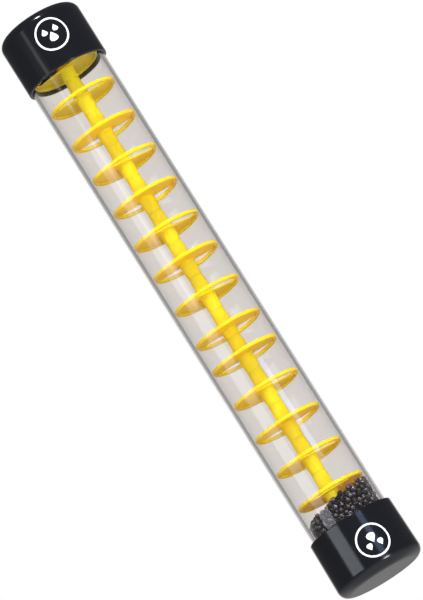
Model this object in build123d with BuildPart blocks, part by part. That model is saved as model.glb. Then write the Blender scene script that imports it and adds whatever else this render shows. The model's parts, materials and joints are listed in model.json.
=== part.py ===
"""Rainstick: a clear tube with a stacked column of windowed baffles and a charge of small steel beads.

The stick stands on its bottom cap. +Z runs along the tube, towards the top cap, and the origin is the
centre of the bottom cap's flat end. Millimetres. The front of the stick is -Y.
"""

import math
import os

import numpy as np
from build123d import *

# ---- Driving dimensions ------------------------------------------------------------------------

overall_length = 402.8        # end face to end face

tube_outer_d = 50.8           # two inch clear tube
tube_wall = 2.5

cap_length = 38.3             # end face to mouth
cap_end = 3.5                 # thickness of a cap's closed end
cap_corner = 6.0              # rounding between a cap's end and its side
cap_lip = 0.8                 # rounding of the mouth's outer edge
cap_slip = 0.1                # radial clearance of a cap over the tube
top_cap_wall = 1.7            # at the mouth
top_cap_draft = 0.1           # how much the side grows from mouth to end
bottom_cap_wall = 2.35
bottom_cap_draft = 0.8

plug_flange = 2.0             # ring that closes the tube's end face
plug_wall = 1.8
plug_face = 2.0               # plate towards the beads
top_plug_room = 8.0           # from the highest rim to the top plug's face
plug_slip = 0.15              # radial clearance in the tube, and of the column in its boss
plug_boss_wall = 1.8          # round the socket that holds the column
plug_ribs = 6
plug_rib = 1.4                # thickness of a rib between boss and skirt

baffle_pitch = 24.5
baffle_end_room = 28.0        # least height of the last baffle's web over the end face
stub_trims = {1: 3.8, 6: 1.9, 9: 5.5}  # cut off the lower stub of these baffles, so the column fits
rim_slip = 0.6                # radial clearance of a rim in the tube
rim_height = 2.2
rim_width = 2.4
rim_edge = 0.6                # rounding of the rim's outer edges
web_thickness = 1.0           # the web is level with the rim's top
window_offset = 6.4           # from the axis to the window's straight edge
window_corner = 1.5

stub_root_d = 10.3            # column at the web
stub_tip_d = 9.1              # column at the joint between two baffles
stub_flare = 0.9              # rounding between stub and web
joint_rise = 1.6              # how far the joint lies over the middle between two baffles
spigot_d = 4.2
spigot_length = 5.0
spigot_lead = 0.5             # chamfer of a spigot's tip
spigot_slip = 0.1             # radial clearance of a spigot in its socket
spigot_gap = 0.4              # between a spigot's end and the bottom of its socket

bead_d = 3.2
bead_gap = 0.06               # left between neighbouring beads
bead_stub_gap = 0.3           # between the beads and the column
heap_depth = 18.8             # of the heap's surface on the axis, over the lowest baffle's web
heap_rise = 4.2               # how much higher it is at the right wall
heap_ceiling_gap = 0.8        # kept free under the baffle above the heap
heap_levels = 5               # the heap is kept in this many nodes
loose_beads = 6               # beads on the heap that can fly through the window above them
settle_tries = 300            # places tried for each bead, of which it takes the lowest

seat_gap = 0.3                # running clearance between pieces that only rest near each other

# Which way the windows face, in degrees from +X, from the top baffle down.
front, back, side, left = -90.0, 90.0, -60.0, -115.0
window_turns = [left, front, back, side, back, side, back, side, back, back, side, back, side, front, back]

# ---- Sizes that follow -------------------------------------------------------------------------

tube_outer_r = tube_outer_d / 2
bore_r = tube_outer_r - tube_wall
tube_bottom = cap_end + plug_flange
tube_top = overall_length - tube_bottom

baffle_count = int((overall_length - 2 * baffle_end_room) / baffle_pitch) + 1
rim_outer_r = bore_r - rim_slip
rim_inner_r = rim_outer_r - rim_width
stub_root_r = stub_root_d / 2
stub_tip_r = stub_tip_d / 2
lower_reach = baffle_pitch / 2 - joint_rise    # from a baffle's middle down to its lower joint
upper_reach = baffle_pitch / 2 + joint_rise
web_top = rim_height / 2
web_bottom = web_top - web_thickness
spigot_r = spigot_d / 2
socket_r = spigot_r + spigot_slip
socket_depth = spigot_length + spigot_gap

bead_r = bead_d / 2
bead_step = bead_d + bead_gap         # closest that two bead centres come


def baffle_height(number):
    """Height of the middle of a baffle's rim. Number 1 is on top, and the column is centred in the stick."""
    cuts = [stub_trims.get(above, 0) for above in range(1, baffle_count)]
    highest = (overall_length + (baffle_count - 1) * baffle_pitch - sum(cuts)) / 2
    return highest - (number - 1) * baffle_pitch + sum(cuts[:number - 1])


def window_turn(number):
    """Direction of a baffle's window, as its angle in the order of the list."""
    return window_turns[(number - 1) % len(window_turns)]


lowest_baffle = baffle_height(baffle_count)
baffle_over_heap = baffle_height(baffle_count - 1)
room_over_column = overall_length - baffle_height(1)
# Each plug's face and its joint with the column, measured from the stick's own end.
bottom_face = lowest_baffle - rim_height / 2 - seat_gap
top_face = room_over_column - rim_height / 2 - top_plug_room
bottom_joint = lowest_baffle - lower_reach
top_joint = room_over_column - upper_reach

os.makedirs("parts", exist_ok=True)


def save(part, label):
    """Name a finished piece and write it to its own file."""
    part.label = label
    export_step(part, f"parts/{label}.step")


# ---- Tube --------------------------------------------------------------------------------------

with BuildPart() as tube:
    with BuildSketch(Plane.XY.offset(tube_bottom)):
        Circle(tube_outer_r)
        Circle(bore_r, mode=Mode.SUBTRACT)
    extrude(amount=tube_top - tube_bottom)
save(tube.part, "tube")

# ---- End caps ----------------------------------------------------------------------------------


def end_plane(up):
    """Section plane of an end piece: local y runs into the stick, from the end face at the local origin."""
    height, turn = (0, -1) if up else (overall_length, 1)
    return Plane((0, 0, height), x_dir=(1, 0, 0), z_dir=(0, turn, 0))


def end_cap(wall, draft, up):
    """A moulded cup that slips over the end of the tube."""
    inner_r = tube_outer_r + cap_slip
    mouth_r = inner_r + wall
    with BuildPart() as cap:
        with BuildSketch(end_plane(up)) as section:
            with BuildLine():
                Polyline(
                    (0, 0),
                    (mouth_r + draft, 0),
                    (mouth_r, cap_length),
                    (inner_r, cap_length),
                    (inner_r, cap_end),
                    (0, cap_end),
                    close=True,
                )
            make_face()
            outside = section.vertices().group_by(Axis.X)[-1]
            fillet(outside, cap_corner)
            lip = section.vertices().group_by(Axis.Y)[-1].sort_by(Axis.X)[-1]
            fillet(lip, min(cap_lip, wall * 0.8))
        revolve(axis=Axis.Z)
    return cap.part


save(end_cap(bottom_cap_wall, bottom_cap_draft, up=True), "bottom_cap")
save(end_cap(top_cap_wall, top_cap_draft, up=False), "top_cap")

# ---- End plugs ---------------------------------------------------------------------------------


def end_plug(up):
    """A moulded plug in the end of the tube: a flange on the tube's end, a skirt, a face and a column boss.

    The bottom one holds the column's lowest spigot in a socket. The top one has a spigot of its own,
    which goes into the socket of the highest baffle.
    """
    skirt_r = bore_r - plug_slip
    stub_hole_r = stub_root_r + plug_slip
    boss_r = stub_hole_r + plug_boss_wall
    floor = cap_end
    face, joint = (bottom_face, bottom_joint) if up else (top_face, top_joint)
    plane = end_plane(up)
    with BuildPart() as plug:
        with BuildSketch(plane):
            with BuildLine():
                Polyline(
                    (stub_hole_r, joint),
                    (stub_hole_r, face),
                    (skirt_r, face),
                    (skirt_r, floor + plug_flange),
                    (tube_outer_r, floor + plug_flange),
                    (tube_outer_r, floor),
                    (skirt_r - plug_wall, floor),
                    (skirt_r - plug_wall, face - plug_face),
                    (boss_r, face - plug_face),
                    (boss_r, floor),
                    (0, floor),
                    (0, joint),
                    close=True,
                )
            make_face()
        revolve(axis=Axis.Z)
        rib_plane = Plane(plane.origin + plane.y_dir * floor, x_dir=(1, 0, 0), z_dir=plane.y_dir)
        with BuildSketch(rib_plane):
            with PolarLocations((boss_r + skirt_r - plug_wall) / 2, plug_ribs):
                Rectangle(skirt_r - plug_wall - boss_r + plug_rib, plug_rib)
        extrude(amount=face - plug_face - floor)
        with BuildSketch(plane):
            with BuildLine():
                if up:
                    Polyline((0, joint), (socket_r, joint), (socket_r, joint - socket_depth),
                             (0, joint - socket_depth), close=True)
                else:
                    Polyline((0, joint), (spigot_r, joint), (spigot_r, joint + spigot_length - spigot_lead),
                             (spigot_r - spigot_lead, joint + spigot_length), (0, joint + spigot_length),
                             close=True)
            make_face()
        revolve(axis=Axis.Z, mode=Mode.SUBTRACT if up else Mode.ADD)
    return plug.part


save(end_plug(up=True), "bottom_plug")
save(end_plug(up=False), "top_plug")

# ---- Baffle column -----------------------------------------------------------------------------


def baffle(number):
    """One moulded baffle: rim, thin web with a window, and stubs that plug into its neighbours."""
    height = baffle_height(number)
    reach = lower_reach - stub_trims.get(number, 0)
    tip_r = stub_root_r - (stub_root_r - stub_tip_r) * reach / lower_reach
    with BuildPart() as module:
        with BuildSketch(Plane.XZ.shift_origin((0, 0, height))) as section:
            with BuildLine():
                Polyline(
                    (0, upper_reach),
                    (stub_tip_r, upper_reach),
                    (stub_root_r, web_top),
                    (rim_outer_r, web_top),
                    (rim_outer_r, -rim_height / 2),
                    (rim_inner_r, -rim_height / 2),
                    (rim_inner_r, web_bottom),
                    (stub_root_r, web_bottom),
                    (tip_r, -reach),
                    (spigot_r, -reach),
                    (spigot_r, spigot_lead - spigot_length - reach),
                    (spigot_r - spigot_lead, -spigot_length - reach),
                    (0, -spigot_length - reach),
                    close=True,
                )
            make_face()
            corners = section.vertices()
            fillet(corners.group_by(Axis.X)[-1], rim_edge)
            for side_of_web in (web_top, web_bottom):
                fillet(corners.sort_by_distance((stub_root_r, side_of_web))[0], stub_flare)
        revolve(axis=Axis.Z)
        with BuildSketch(Plane.XY.offset(height + upper_reach)):
            Circle(socket_r)
        extrude(amount=-socket_depth, mode=Mode.SUBTRACT)
        window_plane = Plane.XY.offset(height + web_bottom).rotated((0, 0, window_turn(number)))
        with BuildSketch(window_plane) as window:
            Circle(rim_inner_r)
            with Locations((window_offset, 0)):
                Rectangle(rim_inner_r, 2 * rim_inner_r, align=(Align.MIN, Align.CENTER), mode=Mode.INTERSECT)
            fillet(window.vertices(), window_corner)
        extrude(amount=web_thickness, mode=Mode.SUBTRACT)
    return module.part


for number in range(1, baffle_count + 1):
    save(baffle(number), f"baffle_{number:02d}")

# ---- Beads -------------------------------------------------------------------------------------


def floor_under(x, y):
    """How low a bead's centre can be at each place: on the bottom plug or the lowest baffle."""
    out = np.hypot(x, y)
    clear = bead_r + bead_gap
    turn = math.radians(window_turn(baffle_count))
    into_window = x * math.cos(turn) + y * math.sin(turn) - window_offset
    in_window = (into_window > clear) & (out < rim_inner_r - clear)
    return np.where(in_window, bottom_face, lowest_baffle + web_top) + clear


def heap_surface(x):
    """Height of the sloping top of the heap. It never comes nearer to the baffle above than its gap."""
    slope = lowest_baffle + heap_depth + heap_rise * x / bore_r
    return np.minimum(slope, baffle_over_heap - rim_height / 2 - heap_ceiling_gap)


def settle_beads():
    """Drop beads one by one, each to the lowest of some random places, until none fits under the surface."""
    rng = np.random.default_rng(7)
    low_r = stub_root_r + bead_stub_gap + bead_r
    high_r = bore_r - bead_gap - bead_r
    beads = np.zeros((0, 3))
    misses = 0
    while misses < 4:
        out = np.sqrt(rng.uniform(low_r ** 2, high_r ** 2, settle_tries))
        turn = rng.uniform(0, 2 * math.pi, settle_tries)
        x, y = out * np.cos(turn), out * np.sin(turn)
        rest = floor_under(x, y)
        if len(beads):
            apart = (x[:, None] - beads[:, 0]) ** 2 + (y[:, None] - beads[:, 1]) ** 2
            over = beads[:, 2] + np.sqrt(np.maximum(bead_step ** 2 - apart, 0))
            rest = np.maximum(rest, np.where(apart < bead_step ** 2, over, 0).max(axis=1))
        rest = np.where(rest + bead_r < heap_surface(x), rest, np.inf)
        best = np.argmin(rest)
        if np.isinf(rest[best]):
            misses += 1
            continue
        beads = np.vstack([beads, [x[best], y[best], rest[best]]])
    return beads


def pick_loose(beads):
    """The highest beads that lie wholly under the window of the baffle above, well apart from each other."""
    turn = math.radians(window_turn(baffle_count - 1))
    clear = bead_r + seat_gap
    into_window = beads[:, 0] * math.cos(turn) + beads[:, 1] * math.sin(turn) - window_offset
    under = (into_window > clear) & (np.hypot(beads[:, 0], beads[:, 1]) < rim_inner_r - clear)
    chosen = []
    for index in sorted(np.flatnonzero(under), key=lambda i: -beads[i, 2]):
        flat = np.hypot(*(beads[:, :2] - beads[index, :2]).T)
        covered = ((flat < bead_step) & (beads[:, 2] > beads[index, 2])).any()
        near = any(flat[other] < bead_step + seat_gap for other in chosen)
        if not covered and not near:
            chosen.append(index)
        if len(chosen) == loose_beads:
            break
    return chosen


def bead_group(centres):
    """Separate steel balls, one solid each."""
    with BuildPart() as group:
        with Locations(*[tuple(map(float, centre)) for centre in centres]):
            Sphere(bead_r)
    return group.part


beads = settle_beads()
loose = pick_loose(beads)
heap = beads[np.setdiff1d(np.arange(len(beads)), loose)]
heap = heap[np.argsort(heap[:, 2])]
for level, layer in enumerate(np.array_split(heap, heap_levels), start=1):
    save(bead_group(layer), f"beads_level_{level}")
for count, index in enumerate(loose, start=1):
    save(bead_group(beads[[index]]), f"loose_bead_{count}")
print(len(beads), "beads, highest top at", round(float(heap[-1, 2]) + bead_r, 2))
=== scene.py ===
import json
import math

import bpy
import numpy as np
from mathutils import Matrix, Vector


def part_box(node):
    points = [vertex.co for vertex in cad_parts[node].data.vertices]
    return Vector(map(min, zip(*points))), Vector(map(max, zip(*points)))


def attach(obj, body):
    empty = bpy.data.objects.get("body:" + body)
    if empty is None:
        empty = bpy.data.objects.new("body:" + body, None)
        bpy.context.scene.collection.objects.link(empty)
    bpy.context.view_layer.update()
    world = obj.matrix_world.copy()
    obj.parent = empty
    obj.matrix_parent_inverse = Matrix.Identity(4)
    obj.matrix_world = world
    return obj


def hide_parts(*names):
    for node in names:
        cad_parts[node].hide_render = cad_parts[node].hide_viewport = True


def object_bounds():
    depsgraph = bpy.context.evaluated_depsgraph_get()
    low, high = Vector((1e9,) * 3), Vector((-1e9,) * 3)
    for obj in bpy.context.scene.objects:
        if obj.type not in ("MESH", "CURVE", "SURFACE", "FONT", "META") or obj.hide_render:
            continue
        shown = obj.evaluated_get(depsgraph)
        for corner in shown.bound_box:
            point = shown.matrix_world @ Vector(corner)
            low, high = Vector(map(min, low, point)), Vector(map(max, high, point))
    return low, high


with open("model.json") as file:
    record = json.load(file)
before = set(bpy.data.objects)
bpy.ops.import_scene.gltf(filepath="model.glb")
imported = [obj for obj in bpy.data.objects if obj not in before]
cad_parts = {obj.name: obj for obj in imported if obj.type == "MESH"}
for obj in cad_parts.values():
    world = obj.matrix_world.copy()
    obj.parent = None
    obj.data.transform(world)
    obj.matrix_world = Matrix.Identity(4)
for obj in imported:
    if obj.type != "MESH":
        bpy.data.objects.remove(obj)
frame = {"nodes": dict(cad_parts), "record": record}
cad_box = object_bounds()
mm = 0.001

# ---- Tube --------------------------------------------------------------------------------------
# A length of clear two inch acrylic tube, extruded, cut square and polished on the cut ends.
# It is glued into both caps and carries the column and the beads inside.


def corner_arc(before, corner, after, radius, count):
    """That many points of the arc that rounds a corner of a profile, tangent to both its sides. Its centre
    lies on the line that halves the corner, radius / sin(half the corner) away."""
    before, corner, after = (np.array(point, float) for point in (before, corner, after))
    to_before = (before - corner) / np.linalg.norm(before - corner)
    to_after = (after - corner) / np.linalg.norm(after - corner)
    half = math.acos(np.clip(to_before @ to_after, -1, 1)) / 2
    middle = (to_before + to_after) / np.linalg.norm(to_before + to_after)
    centre = corner + middle * radius / math.sin(half)
    start = corner + to_before * radius / math.tan(half) - centre
    end = corner + to_after * radius / math.tan(half) - centre
    turn = math.atan2(start[0] * end[1] - start[1] * end[0], start @ end)
    angles = np.linspace(0, turn, count)[:, None]
    across = np.array([-start[1], start[0]])
    return centre + np.cos(angles) * start + np.sin(angles) * across


fine_corner_points = 7               # on a rounding under 1 mm
broad_corner_points = 19             # on any other


def rounded_profile(corners, closed):
    """A profile from (radius, height, rounding) corners: each rounded corner becomes its arc."""
    points = []
    for index, (radius, height, rounding) in enumerate(corners):
        here = (radius, height)
        if rounding:
            before = corners[index - 1][:2]
            after = corners[(index + 1) % len(corners)][:2]
            count = fine_corner_points if rounding < mm else broad_corner_points
            points.extend(corner_arc(before, here, after, rounding, count))
        else:
            points.append(np.array(here, float))
    if closed:
        points.append(points[0])
    return held(np.array(points))


def held(profile, hold=0.15 * mm):
    """The profile with a point just inside both ends of each side longer than four holds, which keeps the
    smooth shading of a rounded corner at the corner."""
    points = [profile[0]]
    for start, end in zip(profile[:-1], profile[1:]):
        length = np.linalg.norm(end - start)
        if length > 4 * hold:
            step = (end - start) * hold / length
            points += [start + step, end - step]
        points.append(end)
    return np.array(points)


weld_decimals = 7                    # points that agree to 0.1 micrometre are one


def surface(name, points, material, smooth_under=35, outward=True):
    """A mesh from one or more grids of points (..., rows, columns, 3). Points that meet are joined, so a row
    or column may end where it began, and a row drawn to one point becomes a pole with triangles round it.
    A closed mesh is turned to face outward. Edges sharper than smooth_under degrees stay sharp."""
    numbers = np.arange(points[..., 0].size).reshape(points.shape[:-1])
    corners = [numbers[..., :-1, :-1], numbers[..., :-1, 1:], numbers[..., 1:, 1:], numbers[..., 1:, :-1]]
    faces = np.stack(corners, axis=-1).reshape(-1, 4)
    places, joined = np.unique(np.round(points.reshape(-1, 3), weld_decimals), axis=0, return_inverse=True)
    faces = joined.reshape(-1)[faces]
    a, b, c, d = (places[faces[:, corner]] for corner in range(4))
    six_volumes = (np.cross(a, b) * c + np.cross(a, c) * d).sum()
    if outward and six_volumes < 0:
        faces = faces[:, ::-1]
    flat = faces == np.roll(faces, 1, axis=1)
    quads = faces[flat.sum(axis=1) == 0]
    thin = flat.sum(axis=1) == 1
    triangles = faces[thin][~flat[thin]].reshape(-1, 3)
    mesh = bpy.data.meshes.new(name)
    mesh.from_pydata(places.tolist(), [], quads.tolist() + triangles.tolist())
    mesh.shade_smooth()
    mesh.set_sharp_from_angle(angle=math.radians(smooth_under))
    mesh.materials.append(material)
    piece = bpy.data.objects.new(name, mesh)
    bpy.context.scene.collection.objects.link(piece)
    return piece


def turned(profile, around):
    """Points of a profile of (radius, height) carried round Z: x = r cos u, y = r sin u, z = height."""
    angle = np.linspace(0, 2 * math.pi, around + 1)
    radius, height = profile[:, :1], profile[:, 1:]
    return np.stack([radius * np.cos(angle), radius * np.sin(angle), height + 0 * angle], axis=-1)


class Value:
    """A shader socket. An expression on values adds its Math nodes."""

    def __init__(self, finish, socket):
        self.finish, self.socket = finish, socket

    def __add__(self, other):
        return self.finish.maths("ADD", self, other)

    def __mul__(self, other):
        return self.finish.maths("MULTIPLY", self, other)

    def __sub__(self, other):
        return self.finish.maths("SUBTRACT", self, other)

    def __rsub__(self, other):
        return self.finish.maths("SUBTRACT", other, self)

    __radd__, __rmul__ = __add__, __mul__


class Finish:
    """A material or the world, as a node tree that nodes are added to one at a time."""

    def __init__(self, owner):
        owner.use_nodes = True
        self.owner, self.tree = owner, owner.node_tree
        self.tree.nodes.clear()

    def add(self, kind, settings, inputs):
        """Adds a node, sets its settings or the two stops of its ramp, then puts the values or links on its
        sockets. Gives its outputs."""
        node = self.tree.nodes.new(kind)
        for name, setting in settings.items():
            if name == "stops":
                for element, (place, colour) in zip(node.color_ramp.elements, setting):
                    element.position, element.color = place, (*colour, 1)
            else:
                setattr(node, name, setting)
        for name, given in inputs.items():
            if isinstance(given, Value):
                self.tree.links.new(given.socket, node.inputs[name])
            else:
                node.inputs[name].default_value = given
        return [Value(self, output) for output in node.outputs if output.enabled]

    def maths(self, operation, *values):
        """What a Math node with that operation makes of the values."""
        return self.add("ShaderNodeMath", {"operation": operation}, dict(enumerate(values)))[0]

    def source(self, kind):
        """The outputs of a node that takes nothing in, by their names."""
        return {output.socket.name: output for output in self.add(kind, {}, {})}

    def noise(self, size, detail=2.0, stretch=(1, 1, 1)):
        """A soft random value from 0 to 1, whose spots are about size metres, in the piece's own coordinates.
        A stretch of less than 1 draws the spots out along that axis."""
        place = self.source("ShaderNodeTexCoord")["Object"]
        scaled = self.add("ShaderNodeMapping", {}, {0: place, 3: stretch})[0]
        return self.add("ShaderNodeTexNoise", {}, {"Vector": scaled, "Scale": 1 / size, "Detail": detail})[0]

    def bump(self, height, depth):
        """The normal of a surface whose height value of 1 stands depth metres proud."""
        return self.add("ShaderNodeBump", {}, {"Height": height, "Distance": depth, "Strength": 1.0})[0]

    def ramp(self, place, *stops):
        """A colour that goes from one (place, colour) stop to the other."""
        return self.add("ShaderNodeValToRGB", {"stops": stops}, {0: place})[0]

    def remap(self, value, low, high, at_low, at_high):
        """at_low where the value is low or less, at_high where it is high or more, and evenly in between."""
        return self.add("ShaderNodeMapRange", {}, {0: value, 1: low, 2: high, 3: at_low, 4: at_high})[0]

    def principled(self, inputs):
        """A surface with those values or links on its sockets."""
        return self.add("ShaderNodeBsdfPrincipled", {}, inputs)[0]

    def mixed(self, share, first, second):
        """The first shader, with that share of the second."""
        return self.add("ShaderNodeMixShader", {}, {0: share, 1: first, 2: second})[0]

    def output(self, shader):
        """Connects the shader and gives the finished material or world."""
        kind = "World" if isinstance(self.owner, bpy.types.World) else "Material"
        self.add("ShaderNodeOutput" + kind, {}, {0: shader})
        return self.owner


def clear_acrylic():
    """Clear acrylic, a little warm and hazy, with faint draw lines along the tube from its extrusion."""
    finish = Finish(bpy.data.materials.new("clear_acrylic"))
    draw_lines = finish.noise(4 * mm, 1.0, stretch=(1, 1, 0.02))
    handling = finish.noise(30 * mm, 4.0)
    wall = finish.principled({
        "Base Color": (0.89, 0.865, 0.845, 1),
        "Roughness": handling * 0.03 + 0.01,
        "IOR": 1.49,
        "Transmission Weight": 1.0,
        "Normal": finish.bump(draw_lines, 0.01 * mm),
    })
    shadow = finish.add("ShaderNodeBsdfTransparent", {}, {0: (0.93, 0.92, 0.91, 1)})[0]
    casts_shadow = finish.source("ShaderNodeLightPath")["Is Shadow Ray"]
    return finish.output(finish.mixed(casts_shadow, wall, shadow))


tube_low, tube_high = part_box("tube")
tube_wall = 2.5 * mm
tube_polish = 0.3 * mm               # rounding of the polished ends
tube_around = 256

tube_r, bore_r = tube_high[0], tube_high[0] - tube_wall
tube_profile = rounded_profile([
    (tube_r, tube_low[2], tube_polish),
    (tube_r, tube_high[2], tube_polish),
    (bore_r, tube_high[2], tube_polish),
    (bore_r, tube_low[2], tube_polish),
], closed=True)
tube = surface("clear_tube", turned(tube_profile, tube_around), clear_acrylic())
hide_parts("tube")
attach(tube, "stick")

# ---- End caps ----------------------------------------------------------------------------------
# Two injection moulded cups in gloss black plastic, pushed over the tube's ends and glued.
# The lower one is thicker and flares towards its closed end; both have a soft outer corner.


def black_plastic():
    """Gloss black moulding: nearly mirror smooth, with slight sink waves and fine handling marks."""
    finish = Finish(bpy.data.materials.new("black_plastic"))
    waves = finish.noise(20 * mm, 1.0)
    marks = finish.noise(1.5 * mm, 3.0, stretch=(1, 1, 0.3))
    shader = finish.principled({
        "Base Color": (0.006, 0.0065, 0.009, 1),
        "Roughness": marks * 0.10 + 0.10,
        "IOR": 1.5,
        "Normal": finish.bump(waves, 0.06 * mm),
    })
    return finish.output(shader)


cap_end = 3.5 * mm                   # thickness of the closed end
cap_corner = 6.0 * mm
cap_lip = 0.8 * mm                   # rounding at the mouth, outside
cap_mouth_edge = 0.2 * mm            # rounding at the mouth, inside
cap_floor_edge = 0.4 * mm            # rounding between the closed end and the wall, inside
cap_slip = 0.1 * mm                  # gap between the tube and a cap
cap_around = 224
cap_finish = black_plastic()


class Cap:
    """A cup turned about Z, from a profile with a rounded outer corner. Its length and where it stands come
    from the frame's box. Its wall is measured at the mouth, and draft is how much wider its closed end is."""

    def __init__(self, name, node, wall, draft, up):
        low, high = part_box(node)
        self.end, self.mouth, inward = (low[2], high[2], 1) if up else (high[2], low[2], -1)
        inner_r = tube_r + cap_slip
        self.mouth_r, self.draft, self.up = inner_r + wall, draft, up
        profile = rounded_profile([
            (0, self.end, 0),
            (self.mouth_r + draft, self.end, cap_corner),
            (self.mouth_r, self.mouth, cap_lip),
            (inner_r, self.mouth, cap_mouth_edge),
            (inner_r, self.end + inward * cap_end, cap_floor_edge),
            (0, self.end + inward * cap_end, 0),
        ], closed=False)
        piece = surface(name, turned(profile, cap_around), cap_finish)
        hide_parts(node)
        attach(piece, "stick")

    def radius(self, height):
        """The outer radius at a height: a straight taper from the mouth to the closed end."""
        return self.mouth_r + self.draft * (height - self.mouth) / (self.end - self.mouth)


bottom_cap = Cap("lower_end_cap", "bottom_cap", wall=2.35 * mm, draft=0.8 * mm, up=True)
top_cap = Cap("upper_end_cap", "top_cap", wall=1.7 * mm, draft=0.1 * mm, up=False)

# ---- Marks on the caps -------------------------------------------------------------------------
# A white pad-printed ring with three raindrops on the front of each cap, upright towards its own end.
# The ink stands a little proud and follows the cap's curve.


def white_ink():
    """Matt white ink, slightly uneven in cover."""
    finish = Finish(bpy.data.materials.new("white_ink"))
    cover = finish.noise(1.2 * mm, 3.0)
    colour = finish.ramp(cover, (0.35, (0.72, 0.73, 0.76)), (0.55, (0.86, 0.87, 0.89)))
    return finish.output(finish.principled({"Base Color": colour, "Roughness": cover * 0.1 + 0.4}))


ring_r = 10.05 * mm                  # to the middle of the line
ring_line = 1.15 * mm
ring_around = 120
ink_height = 0.10 * mm               # over the cap's surface
ink_sink = 0.10 * mm                 # into the cap
ink_edge = 0.05 * mm
drops = [(0.0, -1.6, 6.4), (-3.7, 3.0, 4.4), (3.7, 3.0, 4.4)]      # right, up and length of each, in mm
drop_width = 0.62                    # makes a drop 0.86 times as wide as it is long
drop_taper = 1.6                     # power that thins it towards its point
drop_top = 0.96                      # size of its flat top, as a share of its outline
drop_points = 41
mark_share = 0.53                    # share of the way from a cap's mouth to its closed end
ink = white_ink()


def ring_of_ink():
    """The ring as a grid of (right, up, out of the cap): the section of its line carried round its middle."""
    half = ring_line / 2
    section = np.array([(-half, -ink_sink), (half, -ink_sink), (half, ink_height - ink_edge),
                        (half - ink_edge, ink_height), (ink_edge - half, ink_height),
                        (-half, ink_height - ink_edge), (-half, -ink_sink)])
    return turned(section + (ring_r, 0), ring_around)


def at_height(points, height):
    """Flat points (x, y) put at one height."""
    return np.append(points, np.full((len(points), 1), height), axis=1)


def drop_of_ink(right, up, length):
    """A raindrop with its point up, as a grid of (right, up, out of the cap). As t goes round once, its
    height follows cos t, and its half width sin t times a power of sin(t / 2)."""
    t = np.linspace(0, 2 * math.pi, drop_points)
    half_width = -np.sin(t) * np.sin(t / 2) ** drop_taper * drop_width
    outline = np.stack([half_width, np.cos(t) / 2], axis=1) * length
    side = [(0, -ink_sink), (1, -ink_sink), (1, ink_height - ink_edge)]
    rows = side + [(drop_top, ink_height), (0, ink_height)]
    return np.array([at_height(outline * share + (right, up), out) for share, out in rows])


def print_mark(name, cap, turn):
    """Wraps the ring and the drops round a cap, turn degrees from +X: right is carried round the cap, up goes
    along it, towards its closed end, and out is added to its radius."""
    height = cap.mouth + (cap.end - cap.mouth) * mark_share
    upright = -1 if cap.up else 1
    parts = [ring_of_ink()] + [drop_of_ink(right * mm, up * mm, length * mm) for right, up, length in drops]
    for label, grid in zip(["ring", "drop_1", "drop_2", "drop_3"], parts):
        around, along, out = np.moveaxis(grid, -1, 0) * np.array([upright, upright, 1])[:, None, None]
        z = height + along
        radius = cap.radius(z) + out
        angle = math.radians(turn) + around / cap.radius(height)
        points = np.stack([radius * np.cos(angle), radius * np.sin(angle), z], axis=-1)
        piece = surface(f"{name}_{label}", points, ink)
        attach(piece, "stick")


print_mark("upper_mark", top_cap, turn=-80.0)
print_mark("lower_mark", bottom_cap, turn=-77.5)

# ---- Baffle column -----------------------------------------------------------------------------
# Fifteen yellow mouldings, three of them with a shorter lower stub. Each is a rim, a thin web with one
# window, and a tapered stub above and below. They push together, spigot in socket, and their stubs
# make the centre column.

let_through = 0.40                   # how far the thin plastic glows with light from behind


def yellow_plastic():
    """Semi-gloss yellow moulding with a faint flow pattern in its colour and an orange-peel skin."""
    finish = Finish(bpy.data.materials.new("yellow_plastic"))
    flow = finish.noise(12 * mm, 3.0, stretch=(1, 1, 0.35))
    skin = finish.noise(0.9 * mm)
    colour = finish.ramp(flow, (0.3, (0.91, 0.87, 0.0)), (0.7, (0.96, 0.93, 0.0)))
    opaque = finish.principled({
        "Base Color": colour,
        "Roughness": skin * 0.08 + 0.28,
        "IOR": 1.5,
        "Normal": finish.bump(skin, 0.01 * mm),
    })
    glow = finish.add("ShaderNodeBsdfTranslucent", {}, {0: (1.0, 0.58, 0.05, 1)})[0]
    return finish.output(finish.mixed(let_through, opaque, glow))


yellow = yellow_plastic()
baffle_names = sorted(name for name in frame["nodes"] if name.startswith("baffle_"))
baffle_boxes = [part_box(name) for name in baffle_names]
rim_outer_r = baffle_boxes[0][1][0]
rim_width = 2.4 * mm
rim_inner_r = rim_outer_r - rim_width
rim_height = 2.2 * mm
rim_edge = 0.6 * mm
rim_inner_edge = 0.2 * mm
web_thickness = 1.0 * mm
web_drop = 0.04 * mm                 # of the web's top under the rim's top
web_top = rim_height / 2 - web_drop
web_bottom = rim_height / 2 - web_thickness
web_edge = 0.2 * mm
web_lap = 0.4 * mm                   # of the web's outer edge into the rim
level_tolerance = 1e-9               # metres, under which two distances are the same
web_first_row = 0.02                 # share of the way from the stub to the edge of the web's flat
web_side_points = 15                 # on the window's straight edge, with both its ends
web_corner_points = 9                # on each of its corners
web_circle_points = 97               # on the rest of the web's edge
window_offset = 6.4 * mm
window_corner = 1.5 * mm
stub_root_r = 5.15 * mm
stub_tip_r = 4.55 * mm
stub_tip_edge = 0.35 * mm
stub_tip_points = 4
stub_flare = 0.9 * mm
stub_flare_points = 7
socket_r = 2.2 * mm
socket_depth = 5.4 * mm
spigot_r = 2.1 * mm
spigot_length = 5.0 * mm
spigot_lead = 0.5 * mm
joint_rise = 1.6 * mm                # of a joint over the middle between its two baffles
baffle_pitch = max(high[2] - low[2] for low, high in baffle_boxes) - spigot_length
lower_reach = baffle_pitch / 2 - joint_rise
upper_reach = baffle_pitch / 2 + joint_rise
rim_around = 144

# Which way each baffle's window faces, in degrees from +X, from the top baffle down.
front, back, side, left = -90.0, 90.0, -60.0, -115.0
window_turns = [left, front, back, side, back, side, back, side, back, back, side, back, side, front, back]


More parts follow.
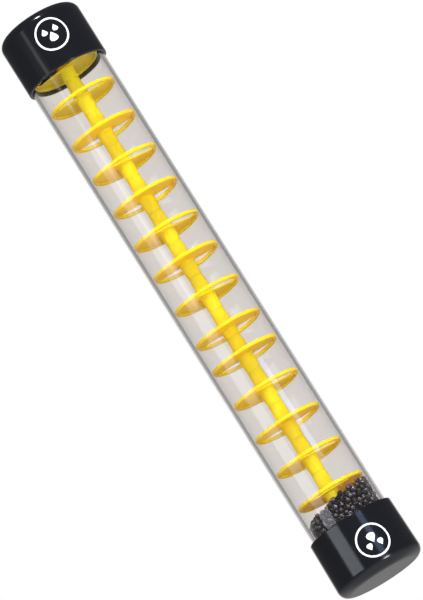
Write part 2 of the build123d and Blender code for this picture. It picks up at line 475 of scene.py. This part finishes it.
def on_circle(angles):
    """The points (cosine, sine) of those angles on a circle with a radius of 1."""
    return np.stack([np.cos(angles), np.sin(angles)], axis=1)


def web_outline():
    """The web's outer edge as (x, y), with its window towards +X: a straight edge, an arc at each corner, and
    a circle inside the rim's wall for the rest of the way round. Its last point is its first."""
    corner_x = window_offset + window_corner
    corner_y = math.sqrt((rim_inner_r - window_corner) ** 2 - corner_x ** 2)
    rim_turn = math.atan2(corner_y, corner_x)
    straight = np.linspace(-corner_y, corner_y, web_side_points)[1:-1]
    edge = np.stack([np.full_like(straight, window_offset), straight], axis=1)
    bend = np.linspace(math.pi, rim_turn, web_corner_points)
    high_corner = on_circle(bend) * window_corner + (corner_x, corner_y)
    low_corner = high_corner[::-1] * (1, -1)
    rest = np.linspace(rim_turn, 2 * math.pi - rim_turn, web_circle_points)
    outline = np.concatenate([edge, high_corner, (rim_inner_r + web_lap) * on_circle(rest), low_corner])
    return np.concatenate([outline, outline[:1]])


def web_inset(outline):
    """The step from each point of the web's outline to the edge of its flat: web_edge long, into the web and
    square to the line between the two points beside it."""
    along = np.roll(outline[:-1], -1, axis=0) - np.roll(outline[:-1], 1, axis=0)
    along = np.concatenate([along, along[:1]])
    square = np.stack([-along[:, 1], along[:, 0]], axis=1)
    return web_edge * square / np.linalg.norm(along, axis=1, keepdims=True)


def clear_of_window(points):
    """The same points, but those beside the window's corners are moved back behind its straight edge, as far
    from the axis as they were: y is the root of their distance squared less x squared."""
    behind = window_offset - web_edge
    moved = points.copy()
    beside = points[:, 0] > behind + level_tolerance
    far = np.linalg.norm(points[beside], axis=1)
    sideways = np.sign(points[beside, 1]) * np.sqrt(far ** 2 - behind ** 2)
    moved[beside] = np.stack([np.full_like(far, behind), sideways], axis=1)
    return moved


def stub_circle(outline):
    """A point on a circle with a radius of 1 for each point of the outline. Its angle is the mean of the
    outline's own bearing there and of an even pace round, by the length walked along the outline."""
    walked = np.concatenate([[0], np.cumsum(np.linalg.norm(np.diff(outline, axis=0), axis=1))])
    bearing = np.unwrap(np.arctan2(outline[:, 1], outline[:, 0]))
    return on_circle((bearing + bearing[0] + 2 * math.pi * walked / walked[-1]) / 2)


def web_and_stubs(height, turn, reach):
    """Rows of points from the socket's floor, out along the web's top, round its edge, and back to the
    spigot. Near the axis a row is a circle. Across the web it goes over to the web's outline, by way of a row
    that stays clear of the window's rounded corners. The whole is turned about Z and lifted to its height."""
    outline = web_outline()
    circle = stub_circle(outline)
    end_r = stub_root_r - (stub_root_r - stub_tip_r) * reach / lower_reach
    high_root, low_root = (stub_root_r, web_top), (stub_root_r, web_bottom)
    high_tip, low_tip = (stub_tip_r, upper_reach), (end_r, -reach)
    upper = np.concatenate([
        [(0, upper_reach - socket_depth), (socket_r, upper_reach - socket_depth), (socket_r, upper_reach)],
        corner_arc((socket_r, upper_reach), high_tip, high_root, stub_tip_edge, stub_tip_points),
        corner_arc(high_tip, high_root, (rim_inner_r, web_top), stub_flare, stub_flare_points)])
    lower = np.concatenate([
        corner_arc((rim_inner_r, web_bottom), low_root, low_tip, stub_flare, stub_flare_points),
        corner_arc(low_root, low_tip, (spigot_r, -reach), stub_tip_edge, stub_tip_points),
        [(spigot_r, -reach), (spigot_r, spigot_lead - spigot_length - reach),
         (spigot_r - spigot_lead, -spigot_length - reach), (0, -spigot_length - reach)]])
    start = circle * upper[-1][0]
    inset = outline + web_inset(outline)
    way = clear_of_window(inset)
    inner = start + (way - start) * web_first_row
    top = [(inner, web_top), (way, web_top), (inset, web_top), (outline, web_top - web_edge)]
    bottom = [(outline, web_bottom + web_edge), (inset, web_bottom), (way, web_bottom), (inner, web_bottom)]
    across = [at_height(row, z) for row, z in top + bottom]
    above, below = ([at_height(circle * r, z) for r, z in held(rows)] for rows in (upper, lower))
    cos, sin = math.cos(turn), math.sin(turn)
    about_z = np.array([[cos, sin, 0], [-sin, cos, 0], [0, 0, 1]])
    return np.array(above + across + below) @ about_z + (0, 0, height)


rim_profile = rounded_profile([
    (rim_outer_r, -rim_height / 2, rim_edge),
    (rim_outer_r, rim_height / 2, rim_edge),
    (rim_inner_r, rim_height / 2, rim_inner_edge),
    (rim_inner_r, -rim_height / 2, rim_inner_edge),
], closed=True)

for name, (low, high), turn in zip(baffle_names, baffle_boxes, window_turns):
    height = high[2] - upper_reach
    reach = height - low[2] - spigot_length
    rim = surface(name + "_rim", turned(rim_profile + (0, height), rim_around), yellow)
    web = surface(name + "_web", web_and_stubs(height, math.radians(turn), reach), yellow)
    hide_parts(name)
    for piece in (rim, web):
        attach(piece, "stick")

# ---- End plugs ---------------------------------------------------------------------------------
# Two yellow mouldings in the tube's ends, under the caps. They close the tube and hold the column: the
# lower one has a socket for the lowest spigot, and the upper one a spigot for the highest socket.

for name in ("bottom_plug", "top_plug"):
    mesh = frame["nodes"][name].data
    mesh.materials.clear()
    mesh.materials.append(yellow)

# ---- Beads -------------------------------------------------------------------------------------
# Small burnished steel balls, blackened. They lie loose at the bottom end, in a heap that rises to one
# side, with a few of them loose on top of it.


def dark_steel():
    """Blackened polished steel, with small differences from ball to ball."""
    finish = Finish(bpy.data.materials.new("dark_steel"))
    place = finish.noise(3.2 * mm, 0.0)
    colour = finish.ramp(place, (0.35, (0.06, 0.055, 0.07)), (0.65, (0.30, 0.28, 0.34)))
    shader = finish.principled({
        "Base Color": colour,
        "Metallic": 1.0,
        "Roughness": place * 0.2 + 0.14,
    })
    return finish.output(shader)


pole_tolerance = 1e-7                # metres


def bead_centres(node):
    """Centres of a node's balls. A ball is a run of vertices that no face leaves. Its centre lies under its
    upper pole, halfway between its highest and its lowest point."""
    mesh = frame["nodes"][node].data
    places = np.empty(len(mesh.vertices) * 3)
    mesh.vertices.foreach_get("co", places)
    places = places.reshape(-1, 3)
    faces = np.empty(len(mesh.loops), int)
    mesh.loops.foreach_get("vertex_index", faces)
    faces = faces.reshape(-1, 3)
    inside = np.zeros(len(places) + 1)
    np.add.at(inside, faces.min(axis=1) + 1, 1)
    np.add.at(inside, faces.max(axis=1) + 1, -1)
    starts = np.flatnonzero(np.cumsum(inside[:-1]) == 0)
    low, high = np.minimum.reduceat(places, starts), np.maximum.reduceat(places, starts)
    ball = np.cumsum(np.bincount(starts, minlength=len(places))) - 1
    pole = places[:, 2] > high[ball, 2] - pole_tolerance
    middle = np.add.reduceat(places * pole[:, None], starts) / np.add.reduceat(pole, starts)[:, None]
    middle[:, 2] = (low[:, 2] + high[:, 2]) / 2
    return middle


steel = dark_steel()
bead_r = (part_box("loose_bead_1")[1][2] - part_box("loose_bead_1")[0][2]) / 2
bead_rows, bead_around = 8, 11
bead_slopes = np.linspace(-math.pi / 2, math.pi / 2, bead_rows)
bead_ball = turned(bead_r * on_circle(bead_slopes), bead_around)

for body, names in frame["record"]["behaviour"]["bodies"].items():
    for node in names:
        if "bead" in node:
            balls = bead_centres(node)[:, None, None] + bead_ball
            piece = surface(node.replace("bead", "steel_ball"), balls, steel, smooth_under=180)
            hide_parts(node)
            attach(piece, body)

# ---- Stage -------------------------------------------------------------------------------------
# A pale floor that only the camera sees, from above, and that fades out at its rim; plain studio light;
# and a long lens that looks up from a little below.

floor_r = 1.6
floor_fade_from, floor_fade_to = floor_r * 0.35, floor_r * 0.98
floor_z = -0.4 * mm
floor_around = 64


def pale_floor():
    """Matt pale grey to the camera from above, fading out towards the rim. Any other ray passes through."""
    finish = Finish(bpy.data.materials.new("pale_floor"))
    from_camera = finish.source("ShaderNodeLightPath")["Is Camera Ray"]
    from_below = finish.source("ShaderNodeNewGeometry")["Backfacing"]
    place = finish.source("ShaderNodeTexCoord")["Object"]
    away = finish.add("ShaderNodeVectorMath", {"operation": "LENGTH"}, {0: place})[0]
    fade = finish.remap(away, floor_fade_from, floor_fade_to, at_low=1.0, at_high=0.0)
    pale = finish.add("ShaderNodeBsdfDiffuse", {}, {0: (0.88, 0.88, 0.88, 1)})[0]
    unseen = finish.add("ShaderNodeBsdfTransparent", {}, {})[0]
    return finish.output(finish.mixed(from_camera * (1 - from_below) * fade, unseen, pale))


floor_points = turned(np.array([(0.0, floor_z), (floor_r, floor_z)]), floor_around)[::-1]
floor = surface("floor", floor_points, pale_floor(), outward=False)

camera_level = 1.0                   # the room, straight to the camera
glass_level = 0.95                   # the room through the tube, and the backdrop in a mirroring
wall_level = 0.36                    # the rest of the room in a mirroring that goes through the tube


def studio_room():
    """White light from all round, at a level that depends on the ray: bright to the camera and through the
    tube, by height on matt surfaces, and darker in gloss, except for the backdrop behind the stick."""
    room = Finish(bpy.data.worlds.new("studio"))
    ray = room.source("ShaderNodeLightPath")
    direction = room.source("ShaderNodeTexCoord")["Generated"]
    y, z = room.add("ShaderNodeSeparateXYZ", {}, {0: direction})[1:]
    in_gloss = room.remap(z, low=-0.6, high=0.1, at_low=0.75, at_high=0.11)
    behind = room.remap(y, low=0.86, high=0.97, at_low=0.0, at_high=1.0)
    above_floor = room.remap(z, low=-0.15, high=0.05, at_low=0.0, at_high=1.0)
    backdrop = behind * above_floor
    on_matt = room.remap(z, low=-0.5, high=0.1, at_low=0.55, at_high=0.92)
    of_camera, of_glass = ray["Is Camera Ray"], ray["Is Transmission Ray"]
    mirrored = room.maths("MINIMUM", ray["Glossy Depth"], 1) * (1 - ray["Is Diffuse Ray"])
    through = of_glass * (1 - mirrored)
    around = in_gloss + of_glass * (wall_level - in_gloss)
    level = of_camera * (camera_level - on_matt) + through * (glass_level - on_matt) + on_matt
    level = level + mirrored * (around + backdrop * (glass_level - around) - on_matt)
    return room.output(room.add("ShaderNodeBackground", {}, {0: (1, 1, 1, 1), 1: level})[0])


bpy.context.scene.world = studio_room()
stick_middle = Vector([0, 0, (cad_box[0][2] + cad_box[1][2]) / 2])


def softbox(name, azimuth, elevation, distance, wide, tall, radiance,
            colour=(1, 1, 1), seen_in="gloss glass"):
    """A flat lamp that faces the stick from a distance in metres, azimuth degrees to the right of the camera
    and elevation degrees up. Its radiance is even: its power is the radiance times pi and its area. It is
    seen in gloss, in glass (by rays that leave the tube's wall), in both or in neither."""
    lamp = bpy.data.lights.new(name, "AREA")
    lamp.shape, lamp.size, lamp.size_y = "RECTANGLE", wide, tall
    lamp.energy = radiance * math.pi * wide * tall
    lamp.color = colour
    turn, lift = math.radians(azimuth), math.radians(elevation)
    away = Vector([math.sin(turn) * math.cos(lift), -math.cos(turn) * math.cos(lift), math.sin(lift)])
    piece = bpy.data.objects.new(name, lamp)
    piece.rotation_euler = (-away).to_track_quat("-Z", "Y").to_euler()
    piece.location = stick_middle + away * distance
    piece.visible_glossy, piece.visible_transmission = "gloss" in seen_in, "glass" in seen_in
    bpy.context.scene.collection.objects.link(piece)


# Name, azimuth, elevation, distance, wide, tall and radiance of each lamp.
softbox("left_softbox", -49.5, 12.7, 1.3, 0.82, 0.29, 1.7)
softbox("left_low_softbox", -47, 2.9, 1.3, 0.78, 0.15, 2.8, (0.93, 1.0, 1.06), seen_in="gloss")
softbox("left_strip", -44, 18.0, 1.3, 0.17, 0.30, 1.3)
softbox("low_right_lamp", 31, -16, 1.3, 0.3, 0.35, 15.0, (0.95, 0.97, 1.0), seen_in="gloss")
softbox("blue_strip", 30.5, 8.7, 3.0, 0.75, 0.14, 4.5, (0.6, 0.75, 1.25), seen_in="gloss")
softbox("front_fill", 20, -4, 1.8, 1.0, 0.8, 6.5, seen_in="")
softbox("high_spot", 12, 48, 1.8, 0.26, 0.26, 80.0, seen_in="gloss")

camera_distance = 3.0
camera_elevation = -12.0             # degrees over the level of the stick's middle
lean = math.radians(32.15)           # of the camera about its own line of sight
lens = 298.3                         # focal length in millimetres
aim_right, aim_up = 2.3 * mm, -2.2 * mm                             # from the stick's middle

lift = math.radians(camera_elevation)
ahead = Vector([0, math.cos(lift), -math.sin(lift)])
level_right = Vector([1, 0, 0])
level_up = level_right.cross(ahead)
right = level_right * math.cos(lean) - level_up * math.sin(lean)
up = level_right * math.sin(lean) + level_up * math.cos(lean)
view = bpy.data.cameras.new("camera")
view.lens = lens
view.clip_end = 20
camera = bpy.data.objects.new("camera", view)
target = stick_middle + right * aim_right + up * aim_up
aimed = Matrix([right, up, -ahead]).transposed().to_4x4()
camera.matrix_world = Matrix.Translation(target - ahead * camera_distance) @ aimed
bpy.context.scene.collection.objects.link(camera)
bpy.context.scene.camera = camera
bpy.context.scene.view_settings.view_transform = "Standard"
